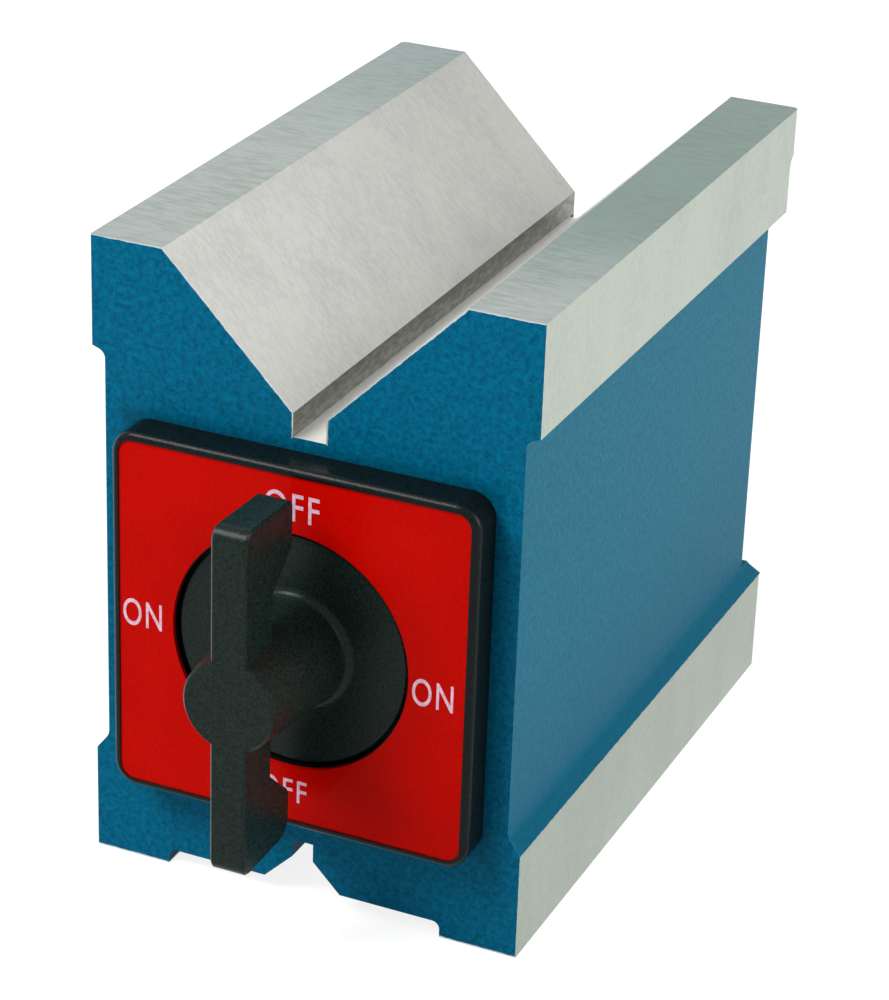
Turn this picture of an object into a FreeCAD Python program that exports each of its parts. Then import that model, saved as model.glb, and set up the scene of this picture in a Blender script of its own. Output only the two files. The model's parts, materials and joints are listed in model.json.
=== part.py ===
import FreeCAD, Part
import math
import os

# Switchable magnetic V-block: two steel pole halves round a quarter-turn magnet rotor with a bar handle.
# Millimetres. +X right, +Y from the switch side to the rear, +Z up. The origin lies on the base plane, at
# the centre of the overall footprint, handle included. "depth" counts from the switch-side face of the
# block towards the rear, so whatever stands in front of that face has a negative depth.

# Block
block_width = 67.0
block_height = 96.0
block_length = 100.0
side_relief = 2.0
rear_relief = 2.0
top_rail_height = 16.3
base_rail_height = 16.4
rear_pad_height = 8.5
rail_underside_drop = 0.7
base_rail_shoulder = 2.6
relief_fillet = 2.2
rail_lip_radius = 0.5
rear_edge_radius = 2.5
rail_corner_radius = 0.9

# Vee on top and the relief slot at its root
vee_width = 45.0
vee_half_angle = 45.0
slot_width = 5.0
slot_depth = 3.6

# Underside: two feet, a shallow relief between them, and a small vee with its own slot
foot_width = 11.8
base_relief = 2.4
base_relief_fillet = 1.5
base_vee_width = 12.0
base_slot_width = 3.3
base_slot_height = 2.8

# Bore for the magnet rotor, under the relief slot, entered from the switch side and blind at the rear
bore_roof = 8.6
bore_radius = 21.0
rear_wall = 3.0
counterbore_ledge = 5.3
front_plate_thickness = 5.0
end_gap = 0.5

# Clearances
seat_gap = 0.02
running_gap = 0.03
rotor_gap = 0.3
skirt_gap = 0.4
washer_gap = 0.05

# Magnet rotor
disc_thickness = 6.0
magnet_count = 3
magnet_width = 29.0
magnet_height = 12.0
journal_radius = 5.0
bush_wall = 1.5
rear_bush_length = 5.0
rear_journal_end_gap = 0.3
washer_width = 2.4

# Quarter-turn stop and detent, between the front plate and the rotor's front disc
turn_each_way = 90.0
stop_circle_radius = 18.4
stop_pin_radius = 1.2
stop_pin_reach = 2.4
stop_gap = 0.2
detent_circle_radius = 9.6
detent_floor = 0.7
plunger_radius = 2.0
plunger_body_length = 2.0
plunger_tip_radius = 0.5
plunger_reach = 0.6
plunger_gap = 0.1
notch_depth = 0.5
spring_wire_width = 0.5
spring_wire_height = 0.35
spring_turns = 2
spring_side_gap = 0.3

# Countersunk screws
small_screw_radius = 1.25
small_screw_head_radius = 2.35
small_screw_length = 8.0
bezel_screw_radius = 1.5
bezel_screw_head_radius = 2.8
bezel_screw_length = 12.0
bezel_screw_inset = 5.0
rotor_screw_circle_radius = 14.3
rotor_screw_length = 14.0
driver_socket_share = 0.5
driver_socket_depth = 1.1

# Bezel and label plate
bezel_size = 55.4
bezel_depth = 5.5
bezel_corner_radius = 3.6
bezel_edge_radius = 1.0
label_size = 53.0
label_thickness = 0.6
label_corner_radius = 2.2
label_seat_depth = 0.8
label_hole_margin = 0.15
bezel_shaft_gap = 1.0

# Handle: round skirt, tapered hub and a bar grip with stepped arms, moulded in one
skirt_radius = 17.5
skirt_thickness = 2.0
skirt_edge_chamfer = 0.3
skirt_back_gap = 0.3
handle_reach = 23.5
skirt_face_depth = 4.4
hub_foot_radius = 8.3
hub_foot_fillet = 1.3
boss_radius = 6.8
bar_width = 5.3
bar_half_length = 26.1
bar_end_slope = 0.5
bar_web_depth = 15.5
bar_arm_depth = 9.9
bar_arm_start = 18.7
bar_web_end = 13.9
bar_front_radius = 2.0
bar_step_radius = 1.0
pointer_back_radius = 0.8
tail_back_radius = 3.0
handle_edge_chamfer = 0.35
drive_square = 7.0
drive_length = 13.0
grub_screw_radius = 2.0
grub_screw_length = 3.6
grub_screw_depth = 9.0

# Modelling limits: the share of an edge that one fillet may take, and what counts as no length
fillet_share = 0.48
tiny = 1e-6

# Worked out from the sizes above
front_y = (handle_reach - block_length) / 2
half_width = block_width / 2
vee_depth = (vee_width - slot_width) / 2 / math.tan(math.radians(vee_half_angle))
slot_floor = block_height - vee_depth - slot_depth
axis_height = slot_floor - bore_roof - bore_radius
base_vee_top = base_relief + (base_vee_width - base_slot_width) / 2
base_slot_top = base_vee_top + base_slot_height
counterbore_radius = bore_radius + counterbore_ledge
rotor_radius = bore_radius - rotor_gap
bore_depth = block_length - rear_relief - rear_wall - rear_bush_length
magnets_start = front_plate_thickness + end_gap + disc_thickness
magnets_end = bore_depth - end_gap - disc_thickness
magnet_length = (magnets_end - magnets_start) / magnet_count
bush_radius = journal_radius + running_gap + bush_wall
bush_hole_radius = journal_radius + running_gap
washer_thickness = end_gap - 2 * washer_gap
handle_back_depth = skirt_face_depth - skirt_thickness
label_hole_radius = skirt_radius + skirt_gap + label_hole_margin
label_seat = bezel_depth - label_seat_depth


def at(x, depth, z):
    return FreeCAD.Vector(x, front_y + depth, z)


def on_axis(x, depth, z):
    return at(x, depth, axis_height + z)


forward = FreeCAD.Vector(0, -1, 0)
rearward = FreeCAD.Vector(0, 1, 0)
downward = FreeCAD.Vector(0, 0, -1)


# Face inside a closed outline. Each corner is (u, v, radius), and place(u, v) puts it in space.
def rounded_face(corners, place):
    count = len(corners)
    flat = [FreeCAD.Vector(u, v, 0) for u, v, radius in corners]
    edges = []
    ends = []
    for i in range(count):
        corner = flat[i]
        before = flat[i - 1] - corner
        after = flat[(i + 1) % count] - corner
        half_turn = before.getAngle(after) / 2
        room = fillet_share * min(before.Length, after.Length)
        tangent = min(corners[i][2] / math.tan(half_turn), room)
        radius = tangent * math.tan(half_turn)
        before.normalize()
        after.normalize()
        if radius < tiny:
            ends.append((corner, None, corner))
            continue
        middle = before + after
        middle.normalize()
        arc_top = corner + middle * (radius / math.sin(half_turn) - radius)
        ends.append((corner + before * tangent, arc_top, corner + after * tangent))
    for i in range(count):
        start, arc_top, end = ends[i]
        previous = ends[i - 1][2]
        if previous.distanceToPoint(start) > tiny:
            edges.append(Part.makeLine(place(previous.x, previous.y), place(start.x, start.y)))
        if arc_top is not None:
            arc = Part.Arc(place(start.x, start.y), place(arc_top.x, arc_top.y), place(end.x, end.y))
            edges.append(arc.toShape())
    return Part.Face(Part.Wire(edges))


# Cylinder on the switch axis, or beside it by (x, z), between two depths.
def bar_round(radius, start, end, x=0.0, z=0.0):
    return Part.makeCylinder(radius, end - start, on_axis(x, start, z), rearward)


# Solid turned about the switch axis, moved to (x, z), from corners (radius, depth, fillet).
def turned(corners, x=0.0, z=0.0):
    face = rounded_face(corners, lambda r, depth: on_axis(x + r, depth, z))
    return face.revolve(on_axis(x, 0, z), rearward, 360)


def box(x_low, x_high, depth_low, depth_high, z_low, z_high):
    size = (x_high - x_low, depth_high - depth_low, z_high - z_low)
    return Part.makeBox(*size, at(x_low, depth_low, z_low))


def write(node, shape):
    shape.exportStep("parts/" + node + ".step")


# Places round the switch axis on a circle, one for each angle from +X towards +Z.
def round_axis(radius, angles):
    return [(radius * math.cos(math.radians(a)), radius * math.sin(math.radians(a))) for a in angles]


diagonals = (45, 135, 225, 315)
plate_screws = round_axis(bore_radius + counterbore_ledge / 2, diagonals)
bezel_screws = round_axis((bezel_size / 2 - bezel_screw_inset) * math.sqrt(2), diagonals)
rotor_screws = round_axis(rotor_screw_circle_radius, (90, -90))


# Corners of the hexagon socket in a screw: its flats are a share of the screw's diameter apart.
def socket_corners(radius):
    corner_radius = driver_socket_share * 2 * radius / math.sqrt(3)
    return [(u, v, 0) for u, v in round_axis(corner_radius, range(0, 360, 60))]


# Countersunk screw with its head's face at a depth and its tip towards the rear or, mirrored, the front.
def screw(x, z, depth, radius, head_radius, length, direction):
    corners = [
        (0, 0, 0),
        (head_radius, 0, 0),
        (radius, head_radius - radius, 0),
        (radius, length, 0),
        (0, length, 0),
    ]
    body = turned([(r, depth + direction * step, fillet) for r, step, fillet in corners], x, z)
    face = rounded_face(socket_corners(radius), lambda u, v: on_axis(x + u, depth, z + v))
    return body.cut(face.extrude(rearward * (direction * driver_socket_depth)))


def screw_set(places, depth, size, direction):
    return Part.makeCompound([screw(x, z, depth, *size, direction) for x, z in places])


# The hole that such a screw fills, with the seat clearance all round and at the tip.
def screw_hole(x, z, depth, radius, head_radius, length, direction):
    wide = head_radius + seat_gap
    narrow = radius + seat_gap
    corners = [
        (0, 0, 0),
        (wide, 0, 0),
        (narrow, wide - narrow, 0),
        (narrow, length + seat_gap, 0),
        (0, length + seat_gap, 0),
    ]
    return turned([(r, depth + direction * step, fillet) for r, step, fillet in corners], x, z)


small_screw = (small_screw_radius, small_screw_head_radius, small_screw_length)
rotor_screw = (small_screw_radius, small_screw_head_radius, rotor_screw_length)
bezel_screw = (bezel_screw_radius, bezel_screw_head_radius, bezel_screw_length)


# Everything milled, bored and tapped through the clamped block, cut alike from poles and separators.
def machining():
    past = block_width
    relief_top = block_height - rear_pad_height
    relief_outline = [
        (block_length + rear_relief, base_rail_height - base_rail_shoulder, 0),
        (block_length, base_rail_height, 0),
        (block_length - rear_relief, base_rail_height + base_rail_shoulder, relief_fillet),
        (block_length - rear_relief, relief_top, relief_fillet),
        (block_length + rear_relief, relief_top + 2 * rear_relief, 0),
    ]
    relief = rounded_face(relief_outline, lambda depth, z: at(-past, depth, z))
    cuts = [relief.extrude(FreeCAD.Vector(2 * past, 0, 0))]
    cuts.append(bar_round(bore_radius, 0, bore_depth))
    cuts.append(bar_round(counterbore_radius, 0, front_plate_thickness))
    cuts.append(bar_round(bush_radius + seat_gap, bore_depth, bore_depth + rear_bush_length))
    for x, z in plate_screws:
        cuts.append(screw_hole(x, z, 0, *small_screw, 1))
    for x, z in bezel_screws:
        cuts.append(screw_hole(x, z, -label_seat, *bezel_screw, 1))
    cuts.append(rear_side_corner(1))
    cuts.append(rear_side_corner(-1))
    for side in (1, -1):
        cuts.append(rail_corner(side, 0, base_rail_height))
        cuts.append(rail_corner(side, block_height - rear_pad_height, block_height))
    return cuts


# Waste outside a rounded vertical edge whose corner is at (side * x, depth), between two heights.
def edge_waste(side, x, depth, radius, z_low, z_high):
    centre = at(side * (x - radius), depth - radius, z_low)
    post = Part.makeCylinder(radius, z_high - z_low, centre)
    x_low, x_high = sorted((side * (x - radius), side * (x + side_relief + radius)))
    depth_past = depth + rear_relief + radius
    return box(x_low, x_high, depth - radius, depth_past, z_low, z_high).cut(post)


def rear_side_corner(side):
    z_low = base_rail_height + base_rail_shoulder
    z_high = block_height - top_rail_height - rail_underside_drop
    x = half_width - side_relief
    return edge_waste(side, x, block_length - rear_relief, rear_edge_radius, z_low, z_high)


def rail_corner(side, z_low, z_high):
    return edge_waste(side, half_width, block_length, rail_corner_radius, z_low, z_high)


# Right-hand pole: the section is constant along the block, and the left-hand pole is its mirror image.
def pole(cuts):
    relief_x = half_width - side_relief
    rail_bottom = block_height - top_rail_height
    section = [
        (half_width - foot_width, 0, 0),
        (half_width, 0, 0),
        (half_width, base_rail_height, rail_lip_radius),
        (relief_x, base_rail_height + base_rail_shoulder, relief_fillet),
        (relief_x, rail_bottom - rail_underside_drop, relief_fillet),
        (half_width, rail_bottom, 0),
        (half_width, block_height, 0),
        (vee_width / 2, block_height, 0),
        (slot_width / 2, block_height - vee_depth, 0),
        (slot_width / 2, axis_height, 0),
        (base_slot_width / 2, axis_height, 0),
        (base_slot_width / 2, base_vee_top, 0),
        (base_vee_width / 2, base_relief, 0),
        (half_width - foot_width, base_relief, base_relief_fillet),
    ]
    face = rounded_face(section, lambda x, z: at(x, 0, z))
    return face.extrude(rearward * block_length).cut(cuts)


def upper_separator(cuts):
    return box(-slot_width / 2, slot_width / 2, 0, block_length, axis_height, slot_floor).cut(cuts)


def lower_separator(cuts):
    half = base_slot_width / 2
    return box(-half, half, 0, block_length, base_slot_top, axis_height).cut(cuts)


# Non-magnetic plate that closes the bore and carries the front bush, the stop pin and the detent.
def front_plate():
    plate = bar_round(counterbore_radius - seat_gap, 0, front_plate_thickness)
    cuts = [bar_round(bush_radius + seat_gap, 0, front_plate_thickness)]
    for x, z in plate_screws:
        cuts.append(screw_hole(x, z, 0, *small_screw, 1))
    cuts.append(bar_round(stop_pin_radius + seat_gap, 0, front_plate_thickness, 0, -stop_circle_radius))
    cuts.append(detent_pocket())
    return plate.cut(cuts)


# A spring plunger in a pocket of the plate: the spring stands on the pocket's floor and pushes the plunger,
# whose cone runs in a track of the front disc and drops into a deeper notch at rest and at both limits.
plunger_tip = front_plate_thickness + end_gap + plunger_reach
plunger_shoulder = plunger_tip - (plunger_radius - plunger_tip_radius)
plunger_back = plunger_shoulder - plunger_body_length
spring_radius = plunger_radius + seat_gap - spring_side_gap - spring_wire_width / 2
spring_start = detent_floor + seat_gap + spring_wire_height / 2
spring_height = plunger_back - seat_gap - spring_wire_height / 2 - spring_start


def detent_pocket():
    radius = plunger_radius + seat_gap
    return bar_round(radius, detent_floor, front_plate_thickness, 0, detent_circle_radius)


def detent_plunger():
    corners = [
        (0, plunger_back, 0),
        (plunger_radius, plunger_back, 0),
        (plunger_radius, plunger_shoulder, 0),
        (plunger_tip_radius, plunger_tip, 0),
        (0, plunger_tip, 0),
    ]
    return turned(corners, 0, detent_circle_radius)


# Coil spring behind the plunger: flat wire swept along a helix.
def detent_spring():
    helix = Part.makeHelix(spring_height / spring_turns, spring_height, spring_radius)
    inner = spring_radius - spring_wire_width / 2
    outer = spring_radius + spring_wire_width / 2
    half = spring_wire_height / 2
    corners = [(inner, -half), (outer, -half), (outer, half), (inner, half), (inner, -half)]
    section = Part.makePolygon([FreeCAD.Vector(r, 0, step) for r, step in corners])
    coil = Part.Wire(helix.Edges).makePipeShell([section], True, True)
    coil.rotate(FreeCAD.Vector(0, 0, 0), FreeCAD.Vector(1, 0, 0), -90)
    coil.translate(on_axis(0, spring_start, detent_circle_radius))
    return coil


def stop_pin():
    tip = front_plate_thickness + end_gap + stop_pin_reach
    return bar_round(stop_pin_radius, 0, tip, 0, -stop_circle_radius)


def ring(outer_radius, inner_radius, start, end):
    return bar_round(outer_radius, start, end).cut(bar_round(inner_radius, start, end))


def bush(start, length):
    return ring(bush_radius, bush_hole_radius, start, start + length)


def washer(start):
    return ring(bush_hole_radius + washer_width, bush_hole_radius, start, start + washer_thickness)


# Groove in the front disc that runs past the stop pin over the whole turn: a rectangle swept round the
# axis from one limit to the other, with a round end at each.
def stop_groove(start):
    half = stop_pin_radius + stop_gap
    end = start + stop_pin_reach + stop_gap
    limits = (-90 - turn_each_way, -90 + turn_each_way)
    (x_share, z_share), (end_x, end_z) = round_axis(1, limits)
    section = [
        (stop_circle_radius - half, start, 0),
        (stop_circle_radius + half, start, 0),
        (stop_circle_radius + half, end, 0),
        (stop_circle_radius - half, end, 0),
    ]
    face = rounded_face(section, lambda r, depth: on_axis(r * x_share, depth, r * z_share))
    groove = face.revolve(on_axis(0, 0, 0), forward, 2 * turn_each_way)
    for x, z in ((x_share, z_share), (end_x, end_z)):
        groove = groove.fuse(bar_round(half, start, end, stop_circle_radius * x, stop_circle_radius * z))
    return groove


# Track for the plunger's cone all round the disc, and a notch for it at rest and at each end of the turn.
def detent_track(start):
    floor = plunger_tip + plunger_gap
    floor_half = plunger_tip_radius + plunger_gap
    face_half = floor_half + floor - start
    track = [
        (detent_circle_radius - face_half, start, 0),
        (detent_circle_radius + face_half, start, 0),
        (detent_circle_radius + floor_half, floor, 0),
        (detent_circle_radius - floor_half, floor, 0),
    ]
    notch = [
        (0, start, 0),
        (face_half + notch_depth, start, 0),
        (floor_half, floor + notch_depth, 0),
        (0, floor + notch_depth, 0),
    ]
    cuts = [turned(track)]
    for x, z in round_axis(detent_circle_radius, (90 - turn_each_way, 90, 90 + turn_each_way)):
        cuts.append(turned(notch, x, z))
    return cuts


def front_disc():
    start = front_plate_thickness + end_gap
    disc = bar_round(rotor_radius, start, start + disc_thickness)
    cuts = [bar_round(journal_radius + seat_gap, start, start + disc_thickness)]
    cuts.append(stop_groove(start))
    cuts.extend(detent_track(start))
    for x, z in rotor_screws:
        cuts.append(screw_hole(x, z, start, *rotor_screw, 1))
    return disc.cut(cuts)


def rear_disc():
    end = magnets_end + disc_thickness
    disc = bar_round(rotor_radius, magnets_end, end)
    cuts = [bar_round(journal_radius + seat_gap, magnets_end, end)]
    for x, z in rotor_screws:
        cuts.append(screw_hole(x, z, end, *rotor_screw, -1))
    return disc.cut(cuts)


# The round bar between the discs, split by the magnet channel into two steel shoes and two side fillers.
def rotor_segment(x_low, x_high, z_low, z_high):
    whole = bar_round(rotor_radius, magnets_start, magnets_end)
    window = box(x_low, x_high, magnets_start, magnets_end, axis_height + z_low, axis_height + z_high)
    segment = whole.common(window)
    cuts = []
    for x, z in rotor_screws:
        cuts.append(screw_hole(x, z, front_plate_thickness + end_gap, *rotor_screw, 1))
        cuts.append(screw_hole(x, z, magnets_end + disc_thickness, *rotor_screw, -1))
    return segment.cut(cuts)


def magnet(number):
    start = magnets_start + number * magnet_length
    half = magnet_width / 2
    z_low = axis_height - magnet_height / 2
    return box(-half, half, start, start + magnet_length, z_low, z_low + magnet_height)


# Front shaft: journal through the bush and the bezel, then a square that drives the handle.
def front_shaft():
    disc_back = front_plate_thickness + end_gap + disc_thickness
    journal = bar_round(journal_radius, -handle_back_depth, disc_back)
    tip = -handle_back_depth - drive_length
    half = drive_square / 2
    square = box(-half, half, tip, -handle_back_depth, axis_height - half, axis_height + half)
    return journal.fuse(square)


def rear_shaft():
    return bar_round(journal_radius, magnets_end, bore_depth + rear_bush_length - rear_journal_end_gap)


# Square plate with rounded corners on the switch axis, between two depths in front of the block.
def square_plate(size, corner_radius, front, back):
    half = size / 2
    outline = ((-half, -half), (half, -half), (half, half), (-half, half))
    corners = [(x, z, corner_radius) for x, z in outline]
    return rounded_face(corners, lambda x, z: on_axis(x, -front, z)).extrude(rearward * (front - back))


def bezel():
    plate = square_plate(bezel_size, bezel_corner_radius, bezel_depth, 0)
    front = front_y - bezel_depth
    rim = [edge for edge in plate.Edges if all(abs(end.Y - front) < tiny for end in edge.Vertexes)]
    plate = plate.makeFillet(bezel_edge_radius, rim)
    cuts = [square_plate(label_size + 2 * seat_gap, label_corner_radius, bezel_depth, label_seat)]
    cuts.append(bar_round(skirt_radius + skirt_gap, -bezel_depth, skirt_back_gap - handle_back_depth))
    cuts.append(bar_round(journal_radius + bezel_shaft_gap, -bezel_depth, 0))
    for x, z in bezel_screws:
        cuts.append(screw_hole(x, z, -label_seat, *bezel_screw, 1))
    return plate.cut(cuts)


def label_plate():
    front = label_seat + label_thickness
    plate = square_plate(label_size, label_corner_radius, front, label_seat)
    return plate.cut(bar_round(label_hole_radius, -front, -label_seat))


# Bar grip seen from the side: half-lengths along Z, depths forward of the block face.
def handle_bar():
    tip = bar_half_length
    back_tip = bar_half_length - bar_end_slope
    outline = [
        (handle_reach, -tip, bar_front_radius),
        (handle_reach, tip, bar_front_radius),
        (bar_arm_depth, back_tip, pointer_back_radius),
        (bar_arm_depth, bar_arm_start, bar_step_radius),
        (bar_web_depth, bar_web_end, bar_step_radius),
        (bar_web_depth, -bar_web_end, bar_step_radius),
        (bar_arm_depth, -bar_arm_start, bar_step_radius),
        (bar_arm_depth, -back_tip, tail_back_radius),
    ]
    half = bar_width / 2
    face = rounded_face(outline, lambda reach, z: on_axis(-half, -reach, z))
    bar = face.extrude(FreeCAD.Vector(bar_width, 0, 0))
    side_edges = [edge for edge in bar.Edges if abs(edge.Vertexes[0].X - edge.Vertexes[-1].X) < tiny]
    return bar.makeChamfer(handle_edge_chamfer, side_edges)


# Skirt, hub and boss turned about the switch axis; the hub tapers to the boss at the front.
def handle():
    skirt_and_hub = [
        (0, -handle_back_depth, 0),
        (skirt_radius, -handle_back_depth, 0),
        (skirt_radius, skirt_edge_chamfer - skirt_face_depth, 0),
        (skirt_radius - skirt_edge_chamfer, -skirt_face_depth, 0),
        (hub_foot_radius, -skirt_face_depth, hub_foot_fillet),
        (boss_radius, handle_edge_chamfer - handle_reach, 0),
        (boss_radius - handle_edge_chamfer, -handle_reach, 0),
        (0, -handle_reach, 0),
    ]
    moulding = turned(skirt_and_hub).fuse(handle_bar())
    half = drive_square / 2 + seat_gap
    socket_end = handle_back_depth + drive_length + seat_gap
    socket = box(-half, half, -socket_end, -handle_back_depth, axis_height - half, axis_height + half)
    way_radius = grub_screw_radius + seat_gap
    grub_way = Part.makeCylinder(way_radius, skirt_radius, on_axis(0, -grub_screw_depth, 0), downward)
    return moulding.cut([socket, grub_way])


# Grub screw up through the underside of the hub, tight on the flat of the drive square.
def handle_screw():
    top = on_axis(0, -grub_screw_depth, -drive_square / 2)
    body = Part.makeCylinder(grub_screw_radius, grub_screw_length, top, downward)
    low = -drive_square / 2 - grub_screw_length
    socket = socket_corners(grub_screw_radius)
    face = rounded_face(socket, lambda u, v: on_axis(u, v - grub_screw_depth, low))
    return body.cut(face.extrude(downward * -driver_socket_depth))


os.makedirs("parts", exist_ok=True)

block_cuts = machining()
right = pole(block_cuts)
write("right_pole", right)
write("left_pole", right.mirror(FreeCAD.Vector(0, 0, 0), FreeCAD.Vector(1, 0, 0)))
write("upper_separator", upper_separator(block_cuts))
write("lower_separator", lower_separator(block_cuts))

write("front_plate", front_plate())
write("front_plate_screws", screw_set(plate_screws, 0, small_screw, 1))
write("front_bush", bush(0, front_plate_thickness))
write("rear_bush", bush(bore_depth, rear_bush_length))
write("front_washer", washer(front_plate_thickness + washer_gap))
write("rear_washer", washer(bore_depth - end_gap + washer_gap))
write("stop_pin", stop_pin())
write("detent_plunger", detent_plunger())
write("detent_spring", detent_spring())

write("bezel", bezel())
write("bezel_screws", screw_set(bezel_screws, -label_seat, bezel_screw, 1))
write("label_plate", label_plate())

half_magnet = magnet_width / 2
half_channel = magnet_height / 2
write("front_disc", front_disc())
write("rear_disc", rear_disc())
write("front_disc_screws", screw_set(rotor_screws, front_plate_thickness + end_gap, rotor_screw, 1))
write("rear_disc_screws", screw_set(rotor_screws, magnets_end + disc_thickness, rotor_screw, -1))
write("upper_shoe", rotor_segment(-rotor_radius, rotor_radius, half_channel, rotor_radius))
write("lower_shoe", rotor_segment(-rotor_radius, rotor_radius, -rotor_radius, -half_channel))
write("left_filler", rotor_segment(-rotor_radius, -half_magnet, -half_channel, half_channel))
write("right_filler", rotor_segment(half_magnet, rotor_radius, -half_channel, half_channel))
for number in range(magnet_count):
    write("magnet_" + str(number + 1), magnet(number))
write("front_shaft", front_shaft())
write("rear_shaft", rear_shaft())
write("handle", handle())
write("handle_screw", handle_screw())
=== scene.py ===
import bmesh
import bpy
import json
import math
import numpy as np
from mathutils import Matrix, Vector


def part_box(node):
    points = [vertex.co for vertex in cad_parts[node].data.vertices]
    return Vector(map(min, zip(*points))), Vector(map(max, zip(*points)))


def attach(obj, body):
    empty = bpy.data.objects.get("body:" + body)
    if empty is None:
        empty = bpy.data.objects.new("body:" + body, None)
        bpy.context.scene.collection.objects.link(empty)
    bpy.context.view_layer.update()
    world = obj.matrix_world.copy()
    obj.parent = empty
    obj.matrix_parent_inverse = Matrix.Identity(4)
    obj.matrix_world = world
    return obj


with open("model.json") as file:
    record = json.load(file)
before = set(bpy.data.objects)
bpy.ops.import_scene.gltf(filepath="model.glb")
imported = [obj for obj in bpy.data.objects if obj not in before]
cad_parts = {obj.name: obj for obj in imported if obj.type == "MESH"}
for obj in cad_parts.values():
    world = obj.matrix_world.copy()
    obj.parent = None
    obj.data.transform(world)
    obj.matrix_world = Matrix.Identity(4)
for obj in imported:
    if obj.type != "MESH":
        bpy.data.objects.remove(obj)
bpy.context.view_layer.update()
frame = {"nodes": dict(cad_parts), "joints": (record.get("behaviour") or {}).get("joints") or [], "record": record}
nodes = frame["nodes"]
mm = 0.001
print("frame loaded:", len(nodes), "nodes")

# Places read from the frame, in metres
poleLow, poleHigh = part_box("right_pole")
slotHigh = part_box("upper_separator")[1]
sideX, rearY, topZ = poleHigh
frontY = poleLow[1]
slotHalf, slotFloor = slotHigh[0], slotHigh[2]
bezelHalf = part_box("bezel")[1][0]
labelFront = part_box("label_plate")[0][1]
axisZ = frame["joints"][0]["pos_m"][2]


# Colours are written as they look on screen, 0 to 255
def srgb(red, green, blue):
    value = np.array([red, green, blue]) / 255
    linear = np.where(value <= 0.04045, value / 12.92, ((value + 0.055) / 1.055) ** 2.4)
    return (*linear.tolist(), 1.0)


def dimmed(colour, share):
    return tuple(share * part for part in colour[:3]) + (1.0,)


def newMaterial(name):
    material = bpy.data.materials.new(name)
    material.use_nodes = True
    return material, material.node_tree, material.node_tree.nodes["Principled BSDF"]


def newObject(name, content):
    item = bpy.data.objects.new(name, content)
    bpy.context.scene.collection.objects.link(item)
    return item


# A socket takes a link or a plain value
def fill(tree, socket, value):
    if isinstance(value, bpy.types.NodeSocket):
        tree.links.new(value, socket)
    else:
        socket.default_value = value


def calc(tree, operation, *values, clamp=False):
    node = tree.nodes.new("ShaderNodeMath")
    node.operation = operation
    node.use_clamp = clamp
    for socket, value in zip(node.inputs, values):
        fill(tree, socket, value)
    return node.outputs[0]


def plus(tree, first, second):
    return calc(tree, "ADD", first, second)


def minus(tree, first, second):
    return calc(tree, "SUBTRACT", first, second)


def times(tree, first, second):
    return calc(tree, "MULTIPLY", first, second)


# 1 where the value is under the limit, 0 elsewhere
def under(tree, value, limit):
    return calc(tree, "LESS_THAN", value, limit)


# 0 below low, 1 above high, smooth between
def ramp(tree, value, low, high):
    node = tree.nodes.new("ShaderNodeMapRange")
    node.interpolation_type = "SMOOTHSTEP"
    fill(tree, node.inputs["Value"], value)
    node.inputs["From Min"].default_value = low
    node.inputs["From Max"].default_value = high
    return node.outputs["Result"]


def mix(tree, kind, sockets, factor, first, second):
    node = tree.nodes.new("ShaderNodeMix")
    node.data_type = kind
    fill(tree, node.inputs["Factor"], factor)
    fill(tree, node.inputs[sockets[0]], first)
    fill(tree, node.inputs[sockets[1]], second)
    return node.outputs[sockets[2]]


def mixColour(tree, factor, first, second):
    return mix(tree, "RGBA", (6, 7, 2), factor, first, second)


def mixValue(tree, factor, first, second):
    return mix(tree, "FLOAT", (2, 3, 0), factor, first, second)


# Object coordinates, stretched by a scale for each axis
def place(tree, scale=(1, 1, 1)):
    coordinate = tree.nodes.new("ShaderNodeTexCoord")
    mapping = tree.nodes.new("ShaderNodeMapping")
    mapping.inputs["Scale"].default_value = scale
    tree.links.new(coordinate.outputs["Object"], mapping.inputs["Vector"])
    return mapping.outputs["Vector"]


def axes(tree):
    split = tree.nodes.new("ShaderNodeSeparateXYZ")
    tree.links.new(place(tree), split.inputs[0])
    return split.outputs


def noise(tree, scale, detail=2.0, roughness=0.5, distortion=0.0, stretch=(1, 1, 1)):
    node = tree.nodes.new("ShaderNodeTexNoise")
    fill(tree, node.inputs["Vector"], place(tree, stretch))
    node.inputs["Scale"].default_value = scale
    node.inputs["Detail"].default_value = detail
    node.inputs["Roughness"].default_value = roughness
    node.inputs["Distortion"].default_value = distortion
    return node.outputs["Fac"]


def bump(tree, height, distance, strength):
    node = tree.nodes.new("ShaderNodeBump")
    fill(tree, node.inputs["Height"], height)
    node.inputs["Distance"].default_value = distance
    node.inputs["Strength"].default_value = strength
    return node.outputs["Normal"]


# Hammered blue paint on the castings' unground faces
paintLook = {
    "dark": srgb(0, 80, 108),
    "light": srgb(0, 109, 146),
    # painted light: the side faces get their own copy of the paint colour, set for how they are lit, with painted
    # shade darker towards the bottom
    "litSideDark": srgb(2, 84, 106),
    "litSideLight": srgb(8, 113, 139),
    "sideLowShade": srgb(0, 84, 112),
    "sideLowShadeShare": 0.6,
    "sideLowShadeHeights": (12 * mm, 50 * mm),
    "frontSkin": 0.3 * mm,
    "roughness": 0.4,
    "specular": 0.04,
    "cellSize": 0.85 * mm,
    "cellShare": 0.72,
    "contrast": (0.33, 0.67),
    "sideContrast": 0.7,
    # painted shade: the front paint is darkened in a band round the bezel, where the bezel's shadow falls
    "bezelShade": srgb(2, 44, 54),
    "bezelShadeShare": 0.34,
    "bezelShadeWidth": 2.0 * mm,
    "reliefDepth": 0.12 * mm,
    "reliefStrength": 0.5,
}
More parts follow.
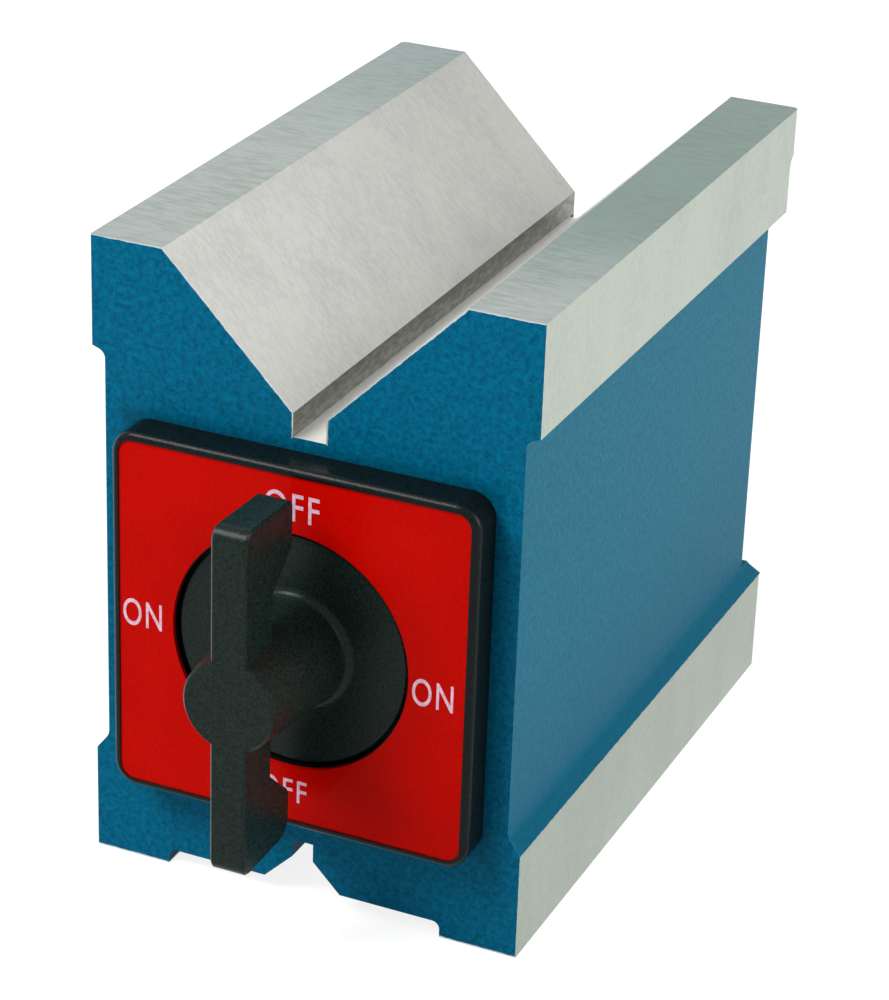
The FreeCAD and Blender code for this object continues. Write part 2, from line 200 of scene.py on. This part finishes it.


# Paint colour and the mottle that shapes it: cloudy cells, softer on the side faces. The side faces take their own
# copy of the paint, set for how they are lit, with painted shade towards the bottom, and the front has painted
# shade, darker close to the bezel where its shadow falls
def paintParts(tree, x, y, z):
    look = paintLook
    onFront = under(tree, y, frontY + look["frontSkin"])
    mottle = noise(tree, 1 / look["cellSize"], 3.0, 0.62, 0.5)
    fine = noise(tree, 3 / look["cellSize"], 2.0, 0.6)
    cells = times(tree, mottle, look["cellShare"])
    blend = ramp(tree, plus(tree, cells, times(tree, fine, 1 - look["cellShare"])), *look["contrast"])
    calm = plus(tree, times(tree, blend, look["sideContrast"]), (1 - look["sideContrast"]) / 2)
    front = mixColour(tree, blend, look["dark"], look["light"])
    # painted light and shade: the side faces use their lit copy of the paint, darkened towards the bottom
    litSides = mixColour(tree, calm, look["litSideDark"], look["litSideLight"])
    shadedLowSides = mixColour(tree, look["sideLowShadeShare"], litSides, look["sideLowShade"])
    litSides = mixColour(tree, ramp(tree, z, *look["sideLowShadeHeights"]), shadedLowSides, litSides)
    paint = mixColour(tree, onFront, litSides, front)
    # painted shade round the bezel: darker within a band around it on the front face
    beside = minus(tree, calc(tree, "ABSOLUTE", x), bezelHalf)
    over = minus(tree, calc(tree, "ABSOLUTE", minus(tree, z, axisZ)), bezelHalf)
    away = ramp(tree, calc(tree, "MAXIMUM", beside, over), 0.0, look["bezelShadeWidth"])
    bezelShadeMask = times(tree, minus(tree, 1.0, away), onFront)
    return mixColour(tree, times(tree, bezelShadeMask, look["bezelShadeShare"]), paint, look["bezelShade"]), mottle


# Steel ground after painting: lands, vee, slot, rails, feet and rear pads
groundLook = {
    # bare burr strip at the paint's borders: real bare steel, its colour lighter than the ground planes as a
    # painted highlight of the rounded corners
    "edge": srgb(196, 201, 203),
    # painted reflection and shade on the ground planes: lighter at the front and top, darker to the rear and lower
    # down, the left and right lands apart
    "landFrontLit": srgb(173, 182, 178),
    "landLeftRearShaded": srgb(150, 165, 162),
    "landRightRearShaded": srgb(130, 150, 144),
    "leftShadeStart": 35 * mm,
    "rightShadeEnd": 45 * mm,
    "veeFrontLit": srgb(203, 204, 199),
    "veeRearShaded": srgb(188, 188, 183),
    "railTopLit": srgb(178, 186, 176),
    "railBaseShaded": srgb(165, 174, 163),
    "railShadeHeights": (30 * mm, 60 * mm),
    "slotLight": srgb(150, 152, 146),
    "slotDark": srgb(122, 122, 116),
    "slotContrast": (0.4, 0.62),
    "grainColour": srgb(112, 118, 114),
    "grainContrast": (0.36, 0.64),
    "grainShare": 0.17,
    "landGrainShare": 0.36,
    "grainMean": 0.32,
    "cloudShare": 0.5,
    "cloudMean": 0.2,
    "grainHeight": 0.05,
    "roughness": 0.42,
    "bareEdge": 0.22 * mm,
    "railBareEdge": 0.04 * mm,
    "edgeWander": 0.26 * mm,
    "railWander": 0.3,
    "skin": 0.04 * mm,
    "slotFloorBlend": 0.2 * mm,
    "veeHalf": 22.5 * mm,
}


# Where the steel is bare. Each ground plane gives a point's depth under it, and the bare strip is as deep
# as a slowly wandering width; the flanks of the vee rise at 45 degrees from its root
def groundMasks(tree, x, y, z):
    look = groundLook
    across = calc(tree, "ABSOLUTE", x)
    wander = times(tree, minus(tree, noise(tree, 900.0), 0.5), look["edgeWander"])
    bare = plus(tree, wander, look["bareEdge"])
    railBare = plus(tree, times(tree, wander, look["railWander"]), look["railBareEdge"])
    root = topZ - (look["veeHalf"] - slotHalf)
    flank = plus(tree, minus(tree, across, slotHalf), root)
    underVee = times(tree, minus(tree, flank, z), math.sqrt(0.5))
    underLand = minus(tree, topZ, z)
    intoSlot = minus(tree, across, slotHalf)
    intoRail = minus(tree, sideX, across)
    overRoot = calc(tree, "GREATER_THAN", z, root)
    overSlotFloor = ramp(tree, z, slotFloor - look["slotFloorBlend"], slotFloor)
    bareMasks = (
        times(tree, under(tree, underVee, bare), overRoot),
        times(tree, under(tree, intoSlot, bare), overSlotFloor),
        under(tree, intoRail, railBare),
        under(tree, z, bare),
        under(tree, minus(tree, rearY, y), look["railBareEdge"]),
    )
    ground = under(tree, underLand, bare)
    for mask in bareMasks:
        ground = calc(tree, "MAXIMUM", ground, mask)
    onPlane = {
        "land": under(tree, underLand, look["skin"]),
        "vee": times(tree, under(tree, underVee, look["skin"]), overRoot),
        "slot": times(tree, under(tree, intoSlot, look["skin"]), under(tree, z, root)),
        "rail": under(tree, intoRail, look["skin"]),
    }
    return ground, onPlane


# Tone of each ground plane, changing along the block as painted reflection and shade: lands and vee lighter at the
# front and darker to the rear, rails darker lower down; the slot has a random stain; and the grain of the grinding
def groundParts(tree, x, y, z, onPlane):
    look = groundLook
    onRight = calc(tree, "GREATER_THAN", x, 0.0)
    # painted shade: lands darken towards the rear, each side its own way
    leftShade = ramp(tree, y, frontY + look["leftShadeStart"], rearY)
    rightShade = ramp(tree, y, frontY, frontY + look["rightShadeEnd"])
    leftLandShaded = mixColour(tree, leftShade, look["landFrontLit"], look["landLeftRearShaded"])
    rightLandShaded = mixColour(tree, rightShade, look["landFrontLit"], look["landRightRearShaded"])
    stain = ramp(tree, noise(tree, 1300.0, 3.0, 0.7, stretch=(1, 0.35, 1)), *look["slotContrast"])
    tones = {
        "rail": mixColour(tree, ramp(tree, z, *look["railShadeHeights"]), look["railBaseShaded"], look["railTopLit"]),
        "slot": mixColour(tree, stain, look["slotDark"], look["slotLight"]),
        "vee": mixColour(tree, ramp(tree, y, frontY, rearY), look["veeFrontLit"], look["veeRearShaded"]),
        "land": mixColour(tree, onRight, leftLandShaded, rightLandShaded),
    }
    # bare strips start from the burr colour with its painted highlight
    metal = look["edge"]
    for plane, tone in tones.items():
        metal = mixColour(tree, onPlane[plane], metal, tone)
    grain = noise(tree, 1400.0, 3.0, 0.75, stretch=(0.2, 1, 0.6))
    cloud = noise(tree, 70.0, 2.0, 0.5, 0.6, stretch=(1, 1, 0.3))
    share = mixValue(tree, onPlane["land"], look["grainShare"], look["landGrainShare"])
    scratches = times(tree, ramp(tree, grain, *look["grainContrast"]), share)
    shade = plus(tree, scratches, times(tree, cloud, look["cloudShare"]))
    mean = plus(tree, times(tree, share, look["grainMean"]), look["cloudMean"])
    shade = calc(tree, "SUBTRACT", shade, mean, clamp=True)
    return mixColour(tree, shade, metal, look["grainColour"]), grain


def blockMaterial():
    material, tree, shader = newMaterial("paintedAndGroundSteel")
    x, y, z = axes(tree)
    ground, onPlane = groundMasks(tree, x, y, z)
    paint, mottle = paintParts(tree, x, y, z)
    metal, grain = groundParts(tree, x, y, z, onPlane)
    roughness = mixValue(tree, ground, paintLook["roughness"], groundLook["roughness"])
    relief = mixValue(tree, ground, mottle, times(tree, grain, groundLook["grainHeight"]))
    normal = bump(tree, relief, paintLook["reliefDepth"], paintLook["reliefStrength"])
    fill(tree, shader.inputs["Base Color"], mixColour(tree, ground, paint, metal))
    fill(tree, shader.inputs["Metallic"], ground)
    fill(tree, shader.inputs["Roughness"], roughness)
    shader.inputs["Specular IOR Level"].default_value = paintLook["specular"]
    fill(tree, shader.inputs["Normal"], normal)
    return material


# Fillers between the poles: bright metal, painted over at the front end
separatorLook = {
    "light": srgb(255, 254, 249),
    "dark": srgb(190, 188, 180),
    "darkShare": 0.3,
    "roughness": 0.5,
    "paintSkin": 0.05 * mm,
    "reliefDepth": 0.05 * mm,
    "reliefStrength": 0.5,
}


def separatorMaterial():
    look = separatorLook
    material, tree, shader = newMaterial("separatorMetal")
    x, y, z = axes(tree)
    painted = under(tree, y, frontY + look["paintSkin"])
    paint, mottle = paintParts(tree, x, y, z)
    grain = noise(tree, 1500.0, 3.0, 0.7, stretch=(1, 0.1, 1))
    metal = mixColour(tree, times(tree, grain, look["darkShare"]), look["light"], look["dark"])
    fill(tree, shader.inputs["Base Color"], mixColour(tree, painted, metal, paint))
    fill(tree, shader.inputs["Metallic"], minus(tree, 1.0, painted))
    shader.inputs["Roughness"].default_value = look["roughness"]
    shader.inputs["Specular IOR Level"].default_value = paintLook["specular"]
    fill(tree, shader.inputs["Normal"], bump(tree, grain, look["reliefDepth"], look["reliefStrength"]))
    return material


# Black mouldings: bezel and handle
mouldingLook = {
    "bezel": srgb(15, 23, 23),
    "handle": srgb(27, 42, 38),
    "darkShare": 0.4,
    "contrast": (0.35, 0.65),
    "roughness": (0.22, 0.36),
    "specular": 0.11,
    "grainSize": 0.35 * mm,
    "reliefDepth": 0.04 * mm,
    "reliefStrength": 0.6,
}


def mouldingMaterial(name, colour):
    look = mouldingLook
    material, tree, shader = newMaterial(name)
    grain = noise(tree, 1 / look["grainSize"], 2.0, 0.6)
    darker = dimmed(colour, look["darkShare"])
    shown = mixColour(tree, ramp(tree, grain, *look["contrast"]), darker, colour)
    fill(tree, shader.inputs["Base Color"], shown)
    fill(tree, shader.inputs["Roughness"], mixValue(tree, grain, *look["roughness"]))
    shader.inputs["Specular IOR Level"].default_value = look["specular"]
    fill(tree, shader.inputs["Normal"], bump(tree, grain, look["reliefDepth"], look["reliefStrength"]))
    return material


# Label plate: smooth red with a faint speckle
labelLook = {
    "red": srgb(206, 7, 0),
    "redDark": srgb(180, 6, 0),
    "broadShare": 0.4,
    "contrast": (0.3, 0.7),
    "roughness": 0.22,
    "specular": 0.03,
}


def labelMaterial():
    look = labelLook
    material, tree, shader = newMaterial("labelRed")
    broad = times(tree, noise(tree, 60.0), look["broadShare"])
    speckle = times(tree, noise(tree, 1700.0, 2.0, 0.7), 1 - look["broadShare"])
    cloud = ramp(tree, plus(tree, broad, speckle), *look["contrast"])
    fill(tree, shader.inputs["Base Color"], mixColour(tree, cloud, look["redDark"], look["red"]))
    shader.inputs["Roughness"].default_value = look["roughness"]
    shader.inputs["Specular IOR Level"].default_value = look["specular"]
    return material


# Words printed on the label plate
letterLook = {
    "white": srgb(234, 198, 216),
    "tint": srgb(214, 168, 192),
    "contrast": (0.3, 0.7),
    "roughness": 0.4,
    "thickness": 0.06 * mm,
    "strokeGrowth": 0.006,
    "capitalShare": 0.7,
    "spacing": 1.15,
    # name, word, place to the right and above the axis, letter height and width share
    "words": (
        ("letteringTop", "OFF", 0.1 * mm, 21.7 * mm, 4.1 * mm, 0.76),
        ("letteringBottom", "OFF", -0.65 * mm, -22.0 * mm, 3.55 * mm, 0.78),
        ("letteringLeft", "ON", -22.82 * mm, 0.0, 4.1 * mm, 0.665),
        ("letteringRight", "ON", 21.78 * mm, -1.54 * mm, 4.1 * mm, 0.665),
    ),
}


def letterMaterial():
    look = letterLook
    material, tree, shader = newMaterial("letterWhite")
    cloud = ramp(tree, noise(tree, 1500.0), *look["contrast"])
    fill(tree, shader.inputs["Base Color"], mixColour(tree, cloud, look["tint"], look["white"]))
    shader.inputs["Roughness"].default_value = look["roughness"]
    return material


# A word is a flat text, made a mesh, squeezed in width, then stood up on the label's face
def letterPiece(name, word, x, z, height, width):
    look = letterLook
    curve = bpy.data.curves.new(name, "FONT")
    curve.body = word
    curve.align_x = "CENTER"
    curve.align_y = "CENTER"
    curve.size = height / look["capitalShare"]
    curve.offset = look["strokeGrowth"] * height
    curve.space_character = look["spacing"]
    curve.extrude = look["thickness"] / 2
    maker = newObject(name + "Maker", curve)
    bpy.context.view_layer.update()
    mesh = bpy.data.meshes.new_from_object(maker)
    bpy.data.objects.remove(maker)
    upright = Matrix.Rotation(math.pi / 2, 4, "X") @ Matrix.Diagonal((width, 1, 1, 1))
    mesh.transform(Matrix.Translation((x, labelFront, axisZ + z)) @ upright)
    mesh.materials.append(letterWhite)
    piece = newObject(name, mesh)
    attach(piece, "block")


# Plain metals inside the block: name, colour and roughness for each slot of the record
hiddenLook = {
    "plate_metal": ("plateMetal", (0.62, 0.63, 0.64, 1), 0.4),
    "bronze": ("bronze", (0.66, 0.50, 0.28, 1), 0.35),
    "disc_brass": ("discBrass", (0.72, 0.58, 0.32, 1), 0.35),
    "screw_steel": ("screwSteel", (0.45, 0.46, 0.47, 1), 0.35),
    "hardened_steel": ("hardenedSteel", (0.55, 0.56, 0.57, 1), 0.25),
    "shoe_steel": ("shoeSteel", (0.50, 0.51, 0.51, 1), 0.4),
    "magnet_ceramic": ("magnetCeramic", (0.16, 0.16, 0.17, 1), 0.6),
}


def plainMetal(name, colour, roughness):
    material, tree, shader = newMaterial(name)
    grain = noise(tree, 1800.0, 3.0, 0.6)
    fill(tree, shader.inputs["Base Color"], mixColour(tree, grain, dimmed(colour, 0.8), colour))
    shader.inputs["Metallic"].default_value = 1.0
    fill(tree, shader.inputs["Roughness"], mixValue(tree, grain, roughness - 0.05, roughness + 0.1))
    return material


blockSteel = blockMaterial()
letterWhite = letterMaterial()
slotMaterials = {
    "painted_pole_steel": blockSteel,
    "separator_metal": separatorMaterial(),
    "bezel_plastic": mouldingMaterial("bezelBlack", mouldingLook["bezel"]),
    "handle_plastic": mouldingMaterial("handleBlack", mouldingLook["handle"]),
    "label_red": labelMaterial(),
}
for slot, metal in hiddenLook.items():
    slotMaterials[slot] = plainMetal(*metal)
for part in frame["record"]["subparts"]:
    node = nodes[part["node"]]
    node.data.materials.clear()
    node.data.materials.append(slotMaterials[part["material_slot"]])
print("materials set:", len(bpy.data.materials))

for word in letterLook["words"]:
    letterPiece(*word)
print("lettering made")

# Raised bands at the rear that follow the vee
rearBand = {"relief": 2.0 * mm, "padHeight": 8.5 * mm, "inset": 0.02 * mm, "underTop": 6.0 * mm}


# Each band is a prism: a four-cornered outline carried from the relief's floor to the rear face. The
# outline runs along one flank of the vee and back along a line padHeight below it, and the left band
# mirrors the right
def rearBands():
    look = rearBand
    inset, drop = look["inset"], look["padHeight"] * math.sqrt(2)
    root = topZ - (groundLook["veeHalf"] - slotHalf) - inset * math.sqrt(2)
    top = topZ - look["underTop"]
    inner = slotHalf + inset
    outer = inner + top - root
    outline = np.array([(inner, root), (inner, root - drop), (outer + drop, top), (outer, top)])
    depths = np.array([rearY - look["relief"] - inset, rearY - inset])
    count = len(outline)
    right = np.zeros((2, count, 3))
    right[:, :, 0] = outline[:, 0]
    right[:, :, 1] = depths[:, None]
    right[:, :, 2] = outline[:, 1]
    left = right[:, ::-1] * (-1, 1, 1)
    points = np.concatenate([right.reshape(-1, 3), left.reshape(-1, 3)])
    step = np.arange(count)
    after = (step + 1) % count
    walls = np.stack([after, after + count, step + count, step], axis=1)
    faces = []
    for base in (0, 2 * count):
        faces += (walls + base).tolist()
        faces += [(step[::-1] + base).tolist(), (step + count + base).tolist()]
    mesh = bpy.data.meshes.new("rearBands")
    mesh.from_pydata(points.tolist(), [], faces)
    shape = bmesh.new()
    shape.from_mesh(mesh)
    bmesh.ops.recalc_face_normals(shape, faces=shape.faces)
    shape.to_mesh(mesh)
    shape.free()
    mesh.materials.append(blockSteel)
    piece = newObject("rearBands", mesh)
    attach(piece, "block")


rearBands()
print("rear bands made")

# Stage: pale floor, white room and two soft boxes. Colours seen as background are apart from those that
# light the object
stageLook = {
    "floorHalf": 4.0,
    "floorPale": (0.6, 0.6, 0.6, 1),
    "floorSeen": (0.3, 0.3, 0.3, 1),
    "floorRoughness": 0.9,
    "floorGlow": 0.85,
    "roomLight": 0.33,
    "roomSeen": 1.0,
    "target": (0, 0.01, 0.05),
    "boxDistance": 0.8,
    # name, size, watts and direction from the target
    "boxes": (
        ("keyBox", 0.34, 6.2, (-0.42, -0.52, 0.74)),
        ("sideBox", 0.5, 4.4, (0.95, 0.1, 0.35)),
    ),
}


# 1 for rays that show the background: straight from the camera, mirrored or through glass
def seenRays(tree):
    path = tree.nodes.new("ShaderNodeLightPath")
    seen = calc(tree, "MAXIMUM", path.outputs["Is Camera Ray"], path.outputs["Is Transmission Ray"])
    return calc(tree, "MAXIMUM", seen, path.outputs["Is Glossy Ray"])


def stageFloor():
    look = stageLook
    half = look["floorHalf"]
    mesh = bpy.data.meshes.new("floor")
    square = [(-half, -half, 0), (half, -half, 0), (half, half, 0), (-half, half, 0)]
    mesh.from_pydata(square, [], [(0, 1, 2, 3)])
    material, tree, shader = newMaterial("floorPale")
    seen = seenRays(tree)
    fill(tree, shader.inputs["Base Color"], mixColour(tree, seen, look["floorPale"], look["floorSeen"]))
    shader.inputs["Roughness"].default_value = look["floorRoughness"]
    shader.inputs["Specular IOR Level"].default_value = 0.0
    shader.inputs["Emission Color"].default_value = (1, 1, 1, 1)
    fill(tree, shader.inputs["Emission Strength"], times(tree, seen, look["floorGlow"]))
    mesh.materials.append(material)
    floor = newObject("floor", mesh)


def room():
    world = bpy.data.worlds.new("room")
    bpy.context.scene.world = world
    world.use_nodes = True
    tree = world.node_tree
    background = tree.nodes["Background"]
    strength = mixValue(tree, seenRays(tree), stageLook["roomLight"], stageLook["roomSeen"])
    background.inputs["Color"].default_value = (1, 1, 1, 1)
    fill(tree, background.inputs["Strength"], strength)


def softBox(name, size, watts, direction):
    lamp = bpy.data.lights.new(name, "AREA")
    lamp.shape = "SQUARE"
    lamp.size = size
    lamp.energy = watts
    box = newObject(name, lamp)
    away = Vector(direction).normalized()
    box.location = Vector(stageLook["target"]) + away * stageLook["boxDistance"]
    box.rotation_euler = away.to_track_quat("Z", "Y").to_euler()


# Camera: place in metres, turn round the block, height and roll in degrees, lens and sensor in mm
cameraView = {
    "place": (0.17779, -0.40203, 0.2545),
    "around": 23.435,
    "up": 25.18,
    "roll": 2.11,
    "lens": 118.53,
    "sensor": 36,
}


def camera():
    lens = bpy.data.cameras.new("camera")
    lens.lens = cameraView["lens"]
    lens.sensor_width = cameraView["sensor"]
    around, rise, roll = (math.radians(cameraView[key]) for key in ("around", "up", "roll"))
    flat = math.cos(rise)
    back = Vector((math.sin(around) * flat, -math.cos(around) * flat, math.sin(rise)))
    level = Vector((math.cos(around), math.sin(around), 0))
    upright = back.cross(level)
    right = math.cos(roll) * level + math.sin(roll) * upright
    up = -math.sin(roll) * level + math.cos(roll) * upright
    turn = Matrix((right, up, back)).transposed()
    viewer = newObject("camera", lens)
    viewer.matrix_world = Matrix.Translation(cameraView["place"]) @ turn.to_4x4()
    bpy.context.scene.camera = viewer


stageFloor()
room()
for box in stageLook["boxes"]:
    softBox(*box)
camera()
bpy.context.scene.view_settings.view_transform = "Standard"
print("stage set")
